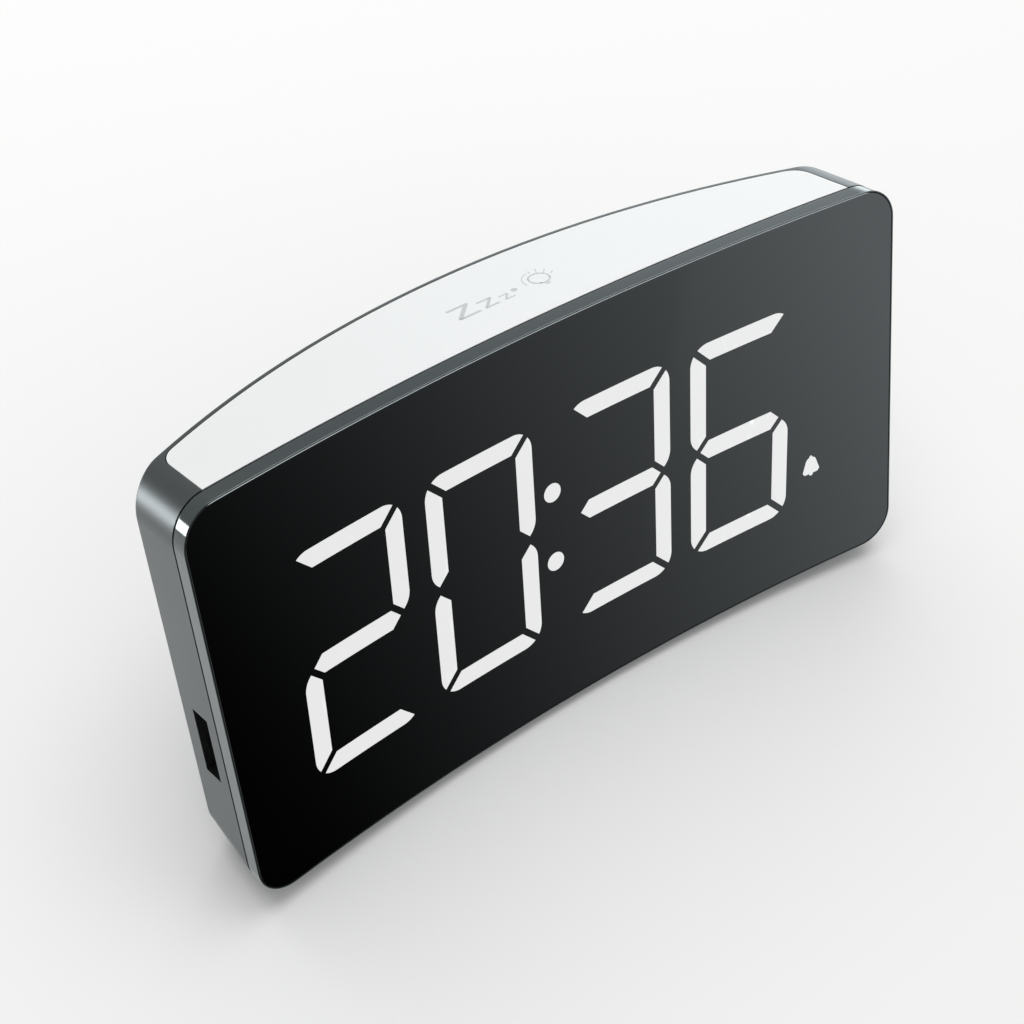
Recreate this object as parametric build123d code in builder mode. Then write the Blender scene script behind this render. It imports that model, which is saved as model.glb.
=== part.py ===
from build123d import *
from math import asin, cos, degrees, radians, sin, sqrt, tan
import os

os.makedirs("parts", exist_ok=True)

# A crescent-shaped LED alarm clock. Every piece is drawn with the clock upright: X along the face
# (right as the reader sees it), Y from the face to the back, Z up the face, and the origin at the
# bottom of the face's middle. finish() then leans each piece back onto the slanted base.

# Driving dimensions, mm
width = 154.6
height = 80.0
corner = 7.0            # radius of the outline's corners
front_radius = 527.0    # hollow front, seen from above
back_radius = 164.74    # round back, seen from above
depth = 28.74           # face to back at the middle
lean = 24.0             # degrees
wall = 2.0              # of the rear housing
bezel_depth = 3.3
seam = 0.35             # groove between the bezel and the housing
rim = 0.32              # of the bezel, seen round the lens
lens_thickness = 1.6
ledge = 4.2             # width of the bezel's ledge behind the lens
base_front = -2.2       # where the slanted base meets the bottom of the face
foot_height = 3.0
foot_radius = 4.0
fit = 0.2               # gap round a piece that moves
touch = 0.05            # gap between pieces that are fixed together
spare = 10.0            # how far a cutting shape runs past what it trims

# Digits, on the face
digit_left = (-61.77, -33.1, -1.38, 27.2)
digit_bottom = 16.94
digit_width = 23.66
digit_height = 45.22
bar = 3.66              # width of a segment
middle_bar = 3.88
mitre = 0.92            # half of the gap between two segments, measured along a bar
side_tip = (1.5, 0.88)  # a side segment's point, in from the digit's edge and up from its middle
middle_tip = 2.36       # the middle segment's point, in from the digit's edge
digit_corner = 4.1
slant = 0.051           # sideways shift for each mm of height
window_depth = 0.5
colon_dots_at = ((-3.82, 46.85), (-4.57, 32.2))
colon_radius = 1.9
bell_at = (57.45, 25.0)

# Snooze bar
bar_half = 70.0
bar_back_border = 1.2
bar_thickness = 1.8
bar_corner = 4.5
bar_travel = 0.8

# Rear controls, X and Z of their centres
button_x = (-28.0, -14.0, 0.0, 14.0, 28.0)
button_names = ("time_button", "alarm_button", "light_button", "down_button", "up_button")
button_z = 60.0
button_length = 8.4
button_width = 5.2
button_proud = 0.7
button_travel = 0.6
knob_at = (46.0, 60.0)
knob_travel = 4.0
knob_start = -knob_travel / 2
door_at = (0.0, 30.0)
door_radius = 12.0
jack_at = (52.0, 24.0)
jack_radius = 2.85
speaker_at = (-52.0, 44.0)
speaker_radius = 8.5
screw_at = ((-72.0, 13.5), (72.0, 13.5), (-72.0, 68.5), (72.0, 68.5))
usb_y = 3.15
usb_z = 30.35
usb_opening = (4.9, 13.6)

# Boards, Y of their front faces
display_board_y = 8.7
main_board_y = 15.5
board = 1.6
main_board_back = main_board_y + board
switch_height = 3.0
switch_top = main_board_back + switch_height

rise = tan(radians(lean))
back_centre = depth - back_radius
seam_y = bezel_depth + seam
middle = 27.05          # Y of the leaned clock's middle
lift = foot_height + base_front * sin(radians(lean))


def front_y(x):
    """Y of the face at x"""
    return sqrt(front_radius**2 - x**2) - front_radius


def back_y(x, inset=0.0):
    """Y of the back at x, or of a wall's inner face"""
    return back_centre + sqrt((back_radius - inset) ** 2 - x**2)


def base_z(y):
    """Height of the slanted base at y"""
    return (y - base_front) * rise


def finish(piece, name):
    """Lean a piece back onto the base, with the origin on the table under the clock's middle"""
    leaned = Location((0, -middle, lift), (-lean, 0, 0)) * piece
    leaned.label = name
    export_step(leaned, f"parts/{name}.step")


def round_prism(x, z, radius, start, end):
    """Cylinder along Y from start to end, added to nothing"""
    with BuildSketch(Plane.XZ.offset(-start)) as disc:
        with Locations((x, z)):
            Circle(radius)
    return extrude(disc.sketch, amount=start - end, mode=Mode.PRIVATE)


def slot_prism(x, z, length, breadth, start, end):
    """Round-ended bar along Y from start to end"""
    with BuildSketch(Plane.XZ.offset(-start)) as slot:
        with Locations((x, z)):
            SlotOverall(length, breadth)
    return extrude(slot.sketch, amount=start - end, mode=Mode.PRIVATE)


def block(low, high):
    """Box between two corners"""
    size = [high[i] - low[i] for i in range(3)]
    with BuildPart() as brick:
        with Locations(tuple((low[i] + high[i]) / 2 for i in range(3))):
            Box(*size)
    return brick.part


def band(start, end, inset):
    """Curved plate between two depths behind the face, inset from the clock's outline"""
    with BuildPart() as plate:
        with BuildSketch(Plane.XY.offset(-spare)):
            with Locations((0, end - front_radius)):
                Circle(front_radius)
            with Locations((0, start - front_radius)):
                Circle(front_radius, mode=Mode.SUBTRACT)
            Rectangle(width + 2 * spare, 4 * depth, mode=Mode.INTERSECT)
        extrude(amount=height + 2 * spare)
        with BuildSketch(Plane.XZ.offset(-2 * depth)):
            with Locations((0, height / 2)):
                RectangleRounded(width - 2 * inset, height - 2 * inset, corner - min(inset, 5))
        extrude(amount=4 * depth, mode=Mode.INTERSECT)
    return plate.part


def crescent(start, inset):
    """Housing shape from a depth behind the face to the back, inset from its outer surface"""
    low = -20.0
    tall = 3 * height
    low_edge = base_z(low) + inset / cos(radians(lean))
    up_the_base = (0, cos(radians(lean)), sin(radians(lean)))
    with BuildPart() as shape:
        with BuildSketch(Plane.XY.offset(-spare)):
            with Locations((0, back_centre)):
                Circle(back_radius - inset)
            Rectangle(width + 2 * spare, 4 * depth, mode=Mode.INTERSECT)
            with Locations((0, start - front_radius)):
                Circle(front_radius, mode=Mode.SUBTRACT)
        extrude(amount=height - inset + spare)
        with BuildSketch(Plane.XZ.offset(-low)):
            with Locations((0, low_edge + tall / 2)):
                RectangleRounded(width - 2 * inset, tall, corner - inset)
        extrude(amount=3 * depth, dir=up_the_base, mode=Mode.INTERSECT)
        top_edges = shape.edges().filter_by(Axis.Y).group_by(Axis.Z)[-1]
        fillet(top_edges, corner - inset)
    return shape.part


def bar_outline(border, front):
    """Plan of the snooze bar with a border taken off its back and ends"""
    half = bar_half - border
    with BuildSketch(Plane.XY) as plan:
        with Locations((0, back_centre)):
            Circle(back_radius - bar_back_border - border)
        Rectangle(2 * half, 4 * depth, mode=Mode.INTERSECT)
        with Locations((0, front - front_radius)):
            Circle(front_radius, mode=Mode.SUBTRACT)
        back_corners = plan.vertices().group_by(Axis.Y)[-1]
        fillet(back_corners, max(bar_corner - border, 1.0))
    return plan.sketch


def bar_block(border, front, low, high):
    """The bar's plan raised between two heights"""
    outline = Pos(0, 0, low) * bar_outline(border, front)
    return extrude(outline, amount=high - low, dir=(0, 0, 1), mode=Mode.PRIVATE)


def on_circle(centre, radius, angle):
    """Point on a circle, angle in degrees"""
    return (centre[0] + radius * cos(radians(angle)), centre[1] + radius * sin(radians(angle)))


def corner_steps():
    """The top segment and the upper left one; a pair of points is an arc's middle and its end"""
    centre = (digit_corner, digit_height - digit_corner)
    swing = degrees(asin(mitre / sqrt(2) / digit_corner))
    inner = digit_height - bar
    far = digit_width - digit_corner
    high = on_circle(centre, digit_corner, 135 - swing)
    bend = on_circle(centre, digit_corner, (225 - swing) / 2)
    top = [[(bar + mitre, inner)], [high], [bend, (digit_corner, digit_height)], [(far, digit_height)],
           [(digit_width - bend[0], bend[1]), (digit_width - high[0], high[1])],
           [(digit_width - bar - mitre, inner)]]
    low = on_circle(centre, digit_corner, 135 + swing)
    turn = on_circle(centre, digit_corner, (315 + swing) / 2)
    tip_x, tip_rise = side_tip
    tip_z = digit_height / 2 + tip_rise
    shoulder = (digit_corner, tip_z + tip_x + digit_corner * tan(radians(22.5)))
    side = [[(bar, inner - mitre)], [low], [turn, (0, centre[1])], [(0, shoulder[1])],
            [on_circle(shoulder, digit_corner, 202.5), on_circle(shoulder, digit_corner, 225)],
            [(tip_x, tip_z)], [(bar, tip_z + bar - tip_x)]]
    return top, side


def middle_steps():
    """The middle segment, pointed at both ends"""
    left = middle_tip
    right = digit_width - left
    half = middle_bar / 2
    points = [(left, 0), (left + half, half), (right - half, half),
              (right, 0), (right - half, -half), (left + half, -half)]
    return [[(x, z + digit_height / 2)] for x, z in points]


def segment(name, left):
    """One display segment as a slanted face on the front plane"""
    top, side = corner_steps()
    steps = {"a": top, "d": top, "g": middle_steps()}.get(name, side)

    def place(point):
        x, z = point
        if name in "bc":
            x = digit_width - x
        if name in "cde":
            z = digit_height - z
        return (left + x + slant * z, digit_bottom + z)

    with BuildSketch(Plane.XZ) as face:
        with BuildLine():
            here = place(steps[0][-1])
            for step in steps[1:] + steps[:1]:
                there = place(step[-1])
                if len(step) == 1:
                    Line(here, there)
                else:
                    ThreePointArc(here, place(step[0]), there)
                here = there
        make_face()
    return face.sketch


def dots():
    """The two colon dots"""
    with BuildSketch(Plane.XZ) as face:
        with Locations(*colon_dots_at):
            Circle(colon_radius)
    return face.sketch


def bell():
    """Small bell: flared body under a round top, with a knob over it and the clapper under it"""
    x, z = bell_at
    base_half = 1.6
    rim_half = 2.05
    top_half = 1.3
    base, lip, neck, crown = (z + rise_up for rise_up in (-1.7, -1.1, 1.1, 2.1))
    with BuildSketch(Plane.XZ) as face:
        with BuildLine():
            Polyline((x - top_half, neck), (x - rim_half, lip), (x - base_half, base),
                     (x + base_half, base), (x + rim_half, lip), (x + top_half, neck))
            ThreePointArc((x + top_half, neck), (x, crown), (x - top_half, neck))
        make_face()
        with Locations((x, crown)):
            Circle(0.35)
        with Locations((x, base)):
            Circle(0.5)
    return face.sketch


def through(faces, start, end):
    """Faces drawn on the front plane, as prisms along Y from start to end"""
    solids = []
    for face in faces:
        solids.append(extrude(Pos(0, start, 0) * face, amount=end - start, dir=(0, 1, 0), mode=Mode.PRIVATE))
    return solids


all_segments = {left: [segment(name, left) for name in "abcdefg"] for left in digit_left}

# ---- Front ----

lens_inset = rim + touch
diffuser_inset = 9.0
boss_radius = 2.6
lip_low = 10.0
lip_high = 70.0
lip_start = 2.5
lip_outer = 0.5
lip_inner = 1.6

lens_pocket = band(-1, lens_thickness, rim)
window = band(-1, bezel_depth + 1, rim + ledge)
lip_ring = band(lip_start, bezel_depth + 1.5, lip_outer)
lip_hole = band(lip_start - 1, bezel_depth + 2.5, lip_inner)
groove_ring = band(lip_start - touch, bezel_depth + 1, lip_outer - touch)
groove_hole = band(lip_start - 1, bezel_depth + 2, lip_inner + touch)
sides = [block((x - 4, -20, lip_low), (x + 4, 10, lip_high)) for x in (-width / 2, width / 2)]
grooves = [(groove_ring - groove_hole) & side for side in sides]
bosses = [round_prism(x, z, boss_radius, front_y(abs(x) - boss_radius) + lens_thickness + touch, 3.55)
          for x, z in screw_at]
pilots = [round_prism(x, z, 1.05, front_y(x) + lens_thickness + 1, 4) for x, z in screw_at]

with BuildPart() as front_bezel:
    add(band(0, bezel_depth, 0))
    add(lens_pocket, mode=Mode.SUBTRACT)
    add(window, mode=Mode.SUBTRACT)
    add(grooves, mode=Mode.SUBTRACT)
    add(bosses)
    add(pilots, mode=Mode.SUBTRACT)
finish(front_bezel.part, "front_bezel")

lit = {"hours_tens_digit": (0, "abged"), "hours_units_digit": (1, "abcdef"),
       "minutes_tens_digit": (2, "abgcd"), "minutes_units_digit": (3, "acdefg")}
signs = {"colon_dots": [dots()], "alarm_sign": [bell()]}
for name, (place, names) in lit.items():
    signs[name] = [segment(letter, digit_left[place]) for letter in names]
window_skin = band(0, window_depth, 2)

with BuildPart() as front_lens:
    add(band(0, lens_thickness - touch, lens_inset))
    chamfer(front_lens.faces().sort_by(Axis.Y)[0].edges(), 0.15)
    for faces in signs.values():
        for prism in through(faces, -8, 8):
            add(prism & window_skin, mode=Mode.SUBTRACT)
finish(front_lens.part, "front_lens")

for name, faces in signs.items():
    with BuildPart() as sign:
        for prism in through(faces, -8, 8):
            add(prism & window_skin)
    finish(sign.part, name)

with BuildPart() as diffuser_sheet:
    add(band(lens_thickness + touch, lens_thickness + 0.3, diffuser_inset))
finish(diffuser_sheet.part, "diffuser_sheet")

# ---- Display ----

with BuildPart() as light_reflector:
    add(block((-63.9, -8, 10.5), (63.9, display_board_y - touch, 69.5)))
    with BuildSketch(Plane.XY) as face_side:
        with Locations((0, lens_thickness + 0.4 - front_radius)):
            Circle(front_radius)
    extrude(face_side.sketch, amount=height, mode=Mode.SUBTRACT)
    for faces in all_segments.values():
        add(through(faces, -8, 10), mode=Mode.SUBTRACT)
    add(through([dots(), bell()], -8, 10), mode=Mode.SUBTRACT)
finish(light_reflector.part, "light_reflector")

with BuildPart() as display_board:
    add(block((-63.5, display_board_y, 8.6), (63.5, display_board_y + board, 71.5)))
finish(display_board.part, "display_board")

with BuildPart() as led_chips:
    spots = [face.faces()[0].center() for faces in all_segments.values() for face in faces]
    spots += [Vector(x, 0, z) for x, z in colon_dots_at + (bell_at,)]
    for spot in spots:
        add(block((spot.X - 0.8, display_board_y - 0.7, spot.Z - 0.6),
                  (spot.X + 0.8, display_board_y, spot.Z + 0.6)))
finish(led_chips.part, "led_chips")

# ---- Rear housing ----

recess_floor = 72.0
floor_thickness = 1.5
bar_front = seam_y + 0.05
skirt_border = 1.7
skirt_wall = 1.2
skirt_low = 74.6
post_at = ((-36.0, 13.0), (36.0, 13.0))
post_radius = 2.0
front_wall_high = height - bar_thickness - bar_travel - fit
back_round = 0.4        # rounding of the housing's back edge

outer = crescent(seam_y, 0)
with BuildPart() as outer_shape:
    add(outer)
    fillet(outer_shape.faces().sort_by(Axis.Y)[-1].edges(), back_round)

inner = crescent(seam_y - 1, wall)
lips = [(lip_ring - lip_hole) & side for side in sides]
bar_room = bar_block(-fit, seam_y - 1, front_wall_high, height + 1)
skirt_room = bar_block(skirt_border - fit, seam_y + skirt_border, recess_floor + floor_thickness, height)
bar_floor = bar_block(skirt_border - 2.2, seam_y, recess_floor, front_wall_high)

towers = [round_prism(x, z, 3.4, 3.6, 20) for x, z in screw_at]
pillar_at = ((-38.0, 20.0), (38.0, 20.0), (-38.0, 61.0), (38.0, 61.0))
pillars = [round_prism(x, z, 2.2, main_board_back + touch, 30) for x, z in pillar_at]
cup = round_prism(*door_at, door_radius + fit + 2.4, 21.5, 30)
jack_pad = round_prism(*jack_at, 6.5, 16.6, 30)
knob_pad = block((knob_at[0] - 5, 17.6, knob_at[1] - 7.5), (knob_at[0] + 5, 30, knob_at[1] + 7.5))
speaker_ring = round_prism(*speaker_at, speaker_radius + 1.2, 14.9, 30)
speaker_hole = round_prism(*speaker_at, speaker_radius, 14.8, back_y(60.5, wall) - 0.4)
inside = [piece & outer_shape.part for piece in
          towers + pillars + [cup, jack_pad, knob_pad, speaker_ring, bar_floor]]

with BuildPart() as rear_housing:
    add(outer_shape.part)
    add(inner, mode=Mode.SUBTRACT)
    add(inside)
    add(lips)
    add([bar_room, skirt_room, speaker_hole], mode=Mode.SUBTRACT)
    # Snooze bar posts
    for x, y in post_at:
        with BuildSketch(Plane.XY.offset(recess_floor - 1)) as post_hole:
            with Locations((x, y)):
                Circle(post_radius + fit)
        extrude(post_hole.sketch, amount=floor_thickness + 2, mode=Mode.SUBTRACT)
    # Charging port, in the left side
    port_y, port_z = (size / 2 for size in usb_opening)
    add(block((-width / 2 - 1, usb_y - port_y, usb_z - port_z),
              (-width / 2 + wall + 1, usb_y + port_y, usb_z + port_z)), mode=Mode.SUBTRACT)
    # Screw holes: clearance for the shank, then a counterbore for the head
    for x, z in screw_at:
        add([round_prism(x, z, 1.45, 3, 20), round_prism(x, z, 2.6, 8, 20)], mode=Mode.SUBTRACT)
    for x, z in pillar_at:
        add(round_prism(x, z, 0.85, main_board_back - 1, back_y(x, wall) - 0.3), mode=Mode.SUBTRACT)
    # Button holes
    for x in button_x:
        add(slot_prism(x, button_z, button_length + 2 * fit, button_width + 2 * fit, 20, 30),
            mode=Mode.SUBTRACT)
    # Battery cup, with the ring groove that the door's tabs turn in
    add([round_prism(*door_at, door_radius + fit, 22.6, 30), round_prism(*door_at, door_radius + 1.2, 24.8, 25.9)],
        mode=Mode.SUBTRACT)
    # Power jack
    add([round_prism(*jack_at, 4.8, 18.4, 30), round_prism(*jack_at, jack_radius + 0.4, 16, 30)],
        mode=Mode.SUBTRACT)
    # Alarm switch pocket, and the slot that the knob's stem slides in
    add([block((knob_at[0] - 3.3, 19.6, knob_at[1] - 5.3), (knob_at[0] + 3.3, 30, knob_at[1] + 5.3)),
         block((knob_at[0] - 1.2, 17, knob_at[1] - 3.4), (knob_at[0] + 1.2, 20, knob_at[1] + 3.4))],
        mode=Mode.SUBTRACT)
    # Speaker grille: rings of holes
    for count, ring in ((1, 0.0), (6, 2.6), (12, 5.2)):
        for turn in range(count):
            x, z = on_circle(speaker_at, ring, turn * 360 / count)
            add(round_prism(x, z, 0.7, 14, 30), mode=Mode.SUBTRACT)
feet_plane = Plane(origin=(0, base_front, 0), x_dir=(1, 0, 0),
                   z_dir=(0, sin(radians(lean)), -cos(radians(lean))))
foot_at = ((-60.0, -7.6), (60.0, -7.6), (-18.0, -27.6), (18.0, -27.6))
with BuildPart() as foot_pockets:
    with BuildSketch(feet_plane.offset(-0.6)) as rings:
        with Locations(*foot_at):
            Circle(foot_radius + touch)
    extrude(rings.sketch, amount=2)
rear_housing.part = rear_housing.part - foot_pockets.part
finish(rear_housing.part, "rear_housing")

with BuildPart() as rubber_feet:
    with BuildSketch(feet_plane.offset(-0.6)) as pads:
        with Locations(*foot_at):
            Circle(foot_radius)
    extrude(pads.sketch, amount=foot_height + 0.6)
    soles = rubber_feet.faces().filter_by(feet_plane).group_by(Axis.Z)
    fillet(soles[0].edges(), 0.5)
finish(rubber_feet.part, "rubber_feet")

with BuildPart() as housing_screws:
    for x, z in screw_at:
        add([round_prism(x, z, 1.0, 0.2, 8.05), round_prism(x, z, 2.3, 8.05, 9.7)])
        add([block((x - 1.5, 9.0, z - 0.25), (x + 1.5, 10, z + 0.25)),
             block((x - 0.25, 9.0, z - 1.5), (x + 0.25, 10, z + 1.5))], mode=Mode.SUBTRACT)
finish(housing_screws.part, "housing_screws")

with BuildPart() as rating_label:
    with BuildSketch(Plane.XY.offset(46)) as strip:
        with Locations((0, back_centre)):
            Circle(back_radius + 0.12)
            Circle(back_radius, mode=Mode.SUBTRACT)
        with Locations((0, depth)):
            Rectangle(44, 20, mode=Mode.INTERSECT)
    extrude(strip.sketch, amount=8.5)
finish(rating_label.part, "rating_label")

# ---- Snooze bar ----

with BuildPart() as snooze_bar:
    add(bar_block(0, bar_front, height - bar_thickness, height))
    add(bar_block(skirt_border, bar_front + skirt_border, skirt_low, height - bar_thickness))
    add(bar_block(skirt_border + skirt_wall, bar_front + skirt_border + skirt_wall, skirt_low - 1,
                  height - bar_thickness), mode=Mode.SUBTRACT)
    for x, y in post_at:
        with BuildSketch(Plane.XY.offset(height - bar_thickness)) as post:
            with Locations((x, y)):
                Circle(post_radius)
        extrude(post.sketch, amount=-(height - bar_thickness - 70.3))
finish(snooze_bar.part, "snooze_bar")

with BuildPart() as snooze_board:
    add(block((-41, 10.7, 64), (41, 15.2, 65.4)))
finish(snooze_board.part, "snooze_board")

with BuildPart() as snooze_switches:
    for x, y in post_at:
        add(block((x - 2.2, y - 2.2, 65.4), (x + 2.2, y + 2.2, 68.8)))
        with BuildSketch(Plane.XY.offset(68.8)) as plunger:
            with Locations((x, y)):
                Circle(1.2)
        extrude(plunger.sketch, amount=0.5)
finish(snooze_switches.part, "snooze_switches")

# ---- Rear buttons ----

for name, x in zip(button_names, button_x):
    flange_back = back_y(abs(x) + button_length / 2 + 1, wall) - 0.15
    with BuildPart() as button:
        add(slot_prism(x, button_z, button_length, button_width, flange_back - 0.5, back_y(x) + button_proud))
        outer_face = button.faces().sort_by(Axis.Y)[-1]
        fillet(outer_face.edges(), 0.5)
        add(slot_prism(x, button_z, button_length + 1.8, button_width + 1.8, flange_back - 0.9, flange_back))
        add(round_prism(x, button_z, 1.5, switch_top + 0.4 + button_travel + 0.2, flange_back - 0.5))
    finish(button.part, name)

with BuildPart() as button_switches:
    for x in button_x:
        add(block((x - 3, main_board_back, button_z - 3), (x + 3, switch_top, button_z + 3)))
        add(round_prism(x, button_z, 1.6, switch_top, switch_top + 0.4))
finish(button_switches.part, "button_switches")

# ---- Alarm switch ----

knob_z = knob_at[1] + knob_start
with BuildPart() as alarm_switch_knob:
    add(block((knob_at[0] - 3.0, 19.8, knob_z - 2.6), (knob_at[0] + 3.0, 22.3, knob_z + 2.6)))
    fillet(alarm_switch_knob.edges().group_by(Axis.Y)[-1], 0.4)
    for shift in (-1.4, -0.45, 0.5, 1.45):
        add(block((knob_at[0] - 3.1, 22.0, knob_z + shift - 0.2), (knob_at[0] + 3.1, 23, knob_z + shift + 0.2)),
            mode=Mode.SUBTRACT)
    add(block((knob_at[0] - 1.0, 15.6, knob_z - 1.1), (knob_at[0] + 1.0, 19.8, knob_z + 1.1)))
finish(alarm_switch_knob.part, "alarm_switch_knob")

with BuildPart() as slide_switch:
    add(block((knob_at[0] - 3, 12.4, knob_at[1] - 5.5), (knob_at[0] + 3, 17.5, knob_at[1] + 5.5)))
    add(block((knob_at[0] - 1.3, 15.3, knob_at[1] - 3.6), (knob_at[0] + 1.3, 18, knob_at[1] + 3.6)),
        mode=Mode.SUBTRACT)
finish(slide_switch.part, "slide_switch")

# ---- Backup battery ----

with BuildPart() as battery_door:
    add(round_prism(*door_at, door_radius, 26.1, back_y(door_radius) - 0.1))
    chamfer(battery_door.edges().group_by(Axis.Y)[-1], 0.3)
    add(round_prism(*door_at, door_radius, 24.95, 26.1))
    add(round_prism(*door_at, door_radius - 1.2, 24, 26.1), mode=Mode.SUBTRACT)
    with BuildSketch(Plane.XZ.offset(-24.95)) as tabs:
        with Locations(door_at):
            Circle(door_radius + 0.9)
            Circle(door_radius - 0.6, mode=Mode.SUBTRACT)
            Rectangle(3 * door_radius, 5, mode=Mode.INTERSECT)
    extrude(tabs.sketch, amount=-0.8)
    add(slot_prism(*door_at, 12, 1.8, 27.2, 30), mode=Mode.SUBTRACT)
finish(battery_door.part, "battery_door")

with BuildPart() as coin_cell:
    add(round_prism(*door_at, 10, 22.95, 26.0))
    chamfer(coin_cell.edges().group_by(Axis.Y)[-1], 0.3)
finish(coin_cell.part, "coin_cell")

with BuildPart() as battery_contacts:
    add(block((door_at[0] - 5, 22.6, door_at[1] - 1.5), (door_at[0] + 5, 22.9, door_at[1] + 1.5)))
    add(block((door_at[0] - 1.5, 22.65, door_at[1] + 10.4), (door_at[0] + 1.5, 24.7, door_at[1] + 10.75)))
finish(battery_contacts.part, "battery_contacts")

# ---- Main board ----

with BuildPart() as main_board:
    add(block((-42, main_board_y, 15), (42, main_board_back, 66)))
    for x, z in pillar_at:
        add(round_prism(x, z, 1.2, 15, 18), mode=Mode.SUBTRACT)
finish(main_board.part, "main_board")

with BuildPart() as board_screws:
    for x, z in pillar_at:
        add([round_prism(x, z, 1.9, main_board_y - 1.4, main_board_y), round_prism(x, z, 0.8, 15, 20.3)])
finish(board_screws.part, "board_screws")

with BuildPart() as board_header:
    add(block((-12, display_board_y + board, 24), (12, main_board_y, 26.5)))
finish(board_header.part, "board_header")

with BuildPart() as control_chip:
    add(block((2, main_board_y - 1.4, 36), (12, main_board_y, 46)))
finish(control_chip.part, "control_chip")

with BuildPart() as clock_crystal:
    add(slot_prism(-8, 40, 8, 3.4, main_board_y - 2.5, main_board_y))
finish(clock_crystal.part, "clock_crystal")

with BuildPart() as filter_capacitors:
    for x in (22, 29):
        add(round_prism(x, 30, 2.6, 10.6, main_board_y))
finish(filter_capacitors.part, "filter_capacitors")

# ---- Charging port, power jack and speaker ----

port_outer = -width / 2 + wall + touch
port_inner = -64.3
with BuildPart() as usb_shell:
    add(block((port_outer, usb_y - 2.9, usb_z - 6.6), (port_inner, usb_y + 2.9, usb_z + 6.6)))
    add(block((port_outer - 1, usb_y - 2.55, usb_z - 6.25), (port_inner - 0.35, usb_y + 2.55, usb_z + 6.25)),
        mode=Mode.SUBTRACT)
finish(usb_shell.part, "usb_shell")

with BuildPart() as usb_tongue:
    add(block((port_outer + 0.8, usb_y - 1.6, usb_z - 5.6), (port_inner - 2, usb_y + 0.2, usb_z + 5.6)))
    add(block((port_inner - 2, usb_y - 2.5, usb_z - 6.2), (port_inner - 0.4, usb_y + 2.5, usb_z + 6.2)))
finish(usb_tongue.part, "usb_tongue")

with BuildPart() as usb_contacts:
    for shift in (-3.5, -1.0, 1.0, 3.5):
        add(block((port_outer + 1.8, usb_y + 0.2, usb_z + shift - 0.5),
                  (port_inner - 2, usb_y + 0.4, usb_z + shift + 0.5)))
finish(usb_contacts.part, "usb_contacts")

with BuildPart() as usb_board:
    add(block((port_outer, usb_y + 2.95, 20.5), (port_inner, usb_y + 4.35, 40.5)))
finish(usb_board.part, "usb_board")

with BuildPart() as power_jack:
    add(block((jack_at[0] - 4.5, 10.6, jack_at[1] - 4.5), (jack_at[0] + 4.5, 16.5, jack_at[1] + 4.5)))
    add(round_prism(*jack_at, jack_radius, 11.6, 17), mode=Mode.SUBTRACT)
finish(power_jack.part, "power_jack")

with BuildPart() as power_jack_pin:
    add(round_prism(*jack_at, 1.0, 11.6, 16.2))
    fillet(power_jack_pin.edges().group_by(Axis.Y)[-1], 0.5)
finish(power_jack_pin.part, "power_jack_pin")

with BuildPart() as speaker_frame:
    add(round_prism(*speaker_at, speaker_radius, 12.3, 14.8))
    add(round_prism(*speaker_at, speaker_radius - 1, 13.2, 15), mode=Mode.SUBTRACT)
finish(speaker_frame.part, "speaker_frame")

with BuildPart() as speaker_cone:
    add(round_prism(*speaker_at, speaker_radius - 1.1, 13.6, 14.1))
    add(round_prism(*speaker_at, 2.6, 14.1, 14.6))
finish(speaker_cone.part, "speaker_cone")

with BuildPart() as speaker_magnet:
    add(round_prism(*speaker_at, 5.5, 10.6, 12.25))
finish(speaker_magnet.part, "speaker_magnet")
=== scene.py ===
from math import cos, pi, radians, sin, sqrt

import bmesh
import bpy
from mathutils import Matrix, Quaternion, Vector


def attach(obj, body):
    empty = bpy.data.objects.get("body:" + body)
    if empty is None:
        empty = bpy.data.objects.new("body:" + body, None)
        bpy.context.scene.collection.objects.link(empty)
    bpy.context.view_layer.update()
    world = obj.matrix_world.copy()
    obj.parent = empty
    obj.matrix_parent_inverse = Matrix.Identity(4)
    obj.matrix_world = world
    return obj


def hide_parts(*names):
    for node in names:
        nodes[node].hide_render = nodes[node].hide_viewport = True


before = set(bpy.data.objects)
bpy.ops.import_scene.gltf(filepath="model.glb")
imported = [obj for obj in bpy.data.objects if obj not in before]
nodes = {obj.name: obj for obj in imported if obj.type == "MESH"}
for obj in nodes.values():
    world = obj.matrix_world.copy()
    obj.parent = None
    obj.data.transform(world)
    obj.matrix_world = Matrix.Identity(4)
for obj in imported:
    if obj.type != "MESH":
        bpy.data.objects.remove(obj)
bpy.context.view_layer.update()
print("frame loaded:", len(nodes), "nodes")

# Lengths are in metres. Skins are drawn with the clock upright: x along the face, y from the
# face to the back, z up the face, and leaned() then sets them on the slanted base.
clock = {
    "width": 0.1546,
    "height": 0.08,
    "cornerRadius": 0.007,
    "frontRadius": 0.527,
    "leanDegrees": 24,
    "middleBack": 0.02705,      # how far the clock's middle lies behind the foot of the face
    "lift": 0.0021052,          # height of the foot of the face above the table
}


def leaned(x, y, z):
    turn = radians(clock["leanDegrees"])
    return Vector((x, y * cos(turn) + z * sin(turn) - clock["middleBack"],
                   -y * sin(turn) + z * cos(turn) + clock["lift"]))


def upright(point):              # the reverse of leaned()
    turn = radians(clock["leanDegrees"])
    along = point.y + clock["middleBack"]
    above = point.z - clock["lift"]
    return Vector((point.x, along * cos(turn) - above * sin(turn),
                   along * sin(turn) + above * cos(turn)))


def faceDepth(x):
    return sqrt(clock["frontRadius"] ** 2 - x * x) - clock["frontRadius"]


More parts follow.
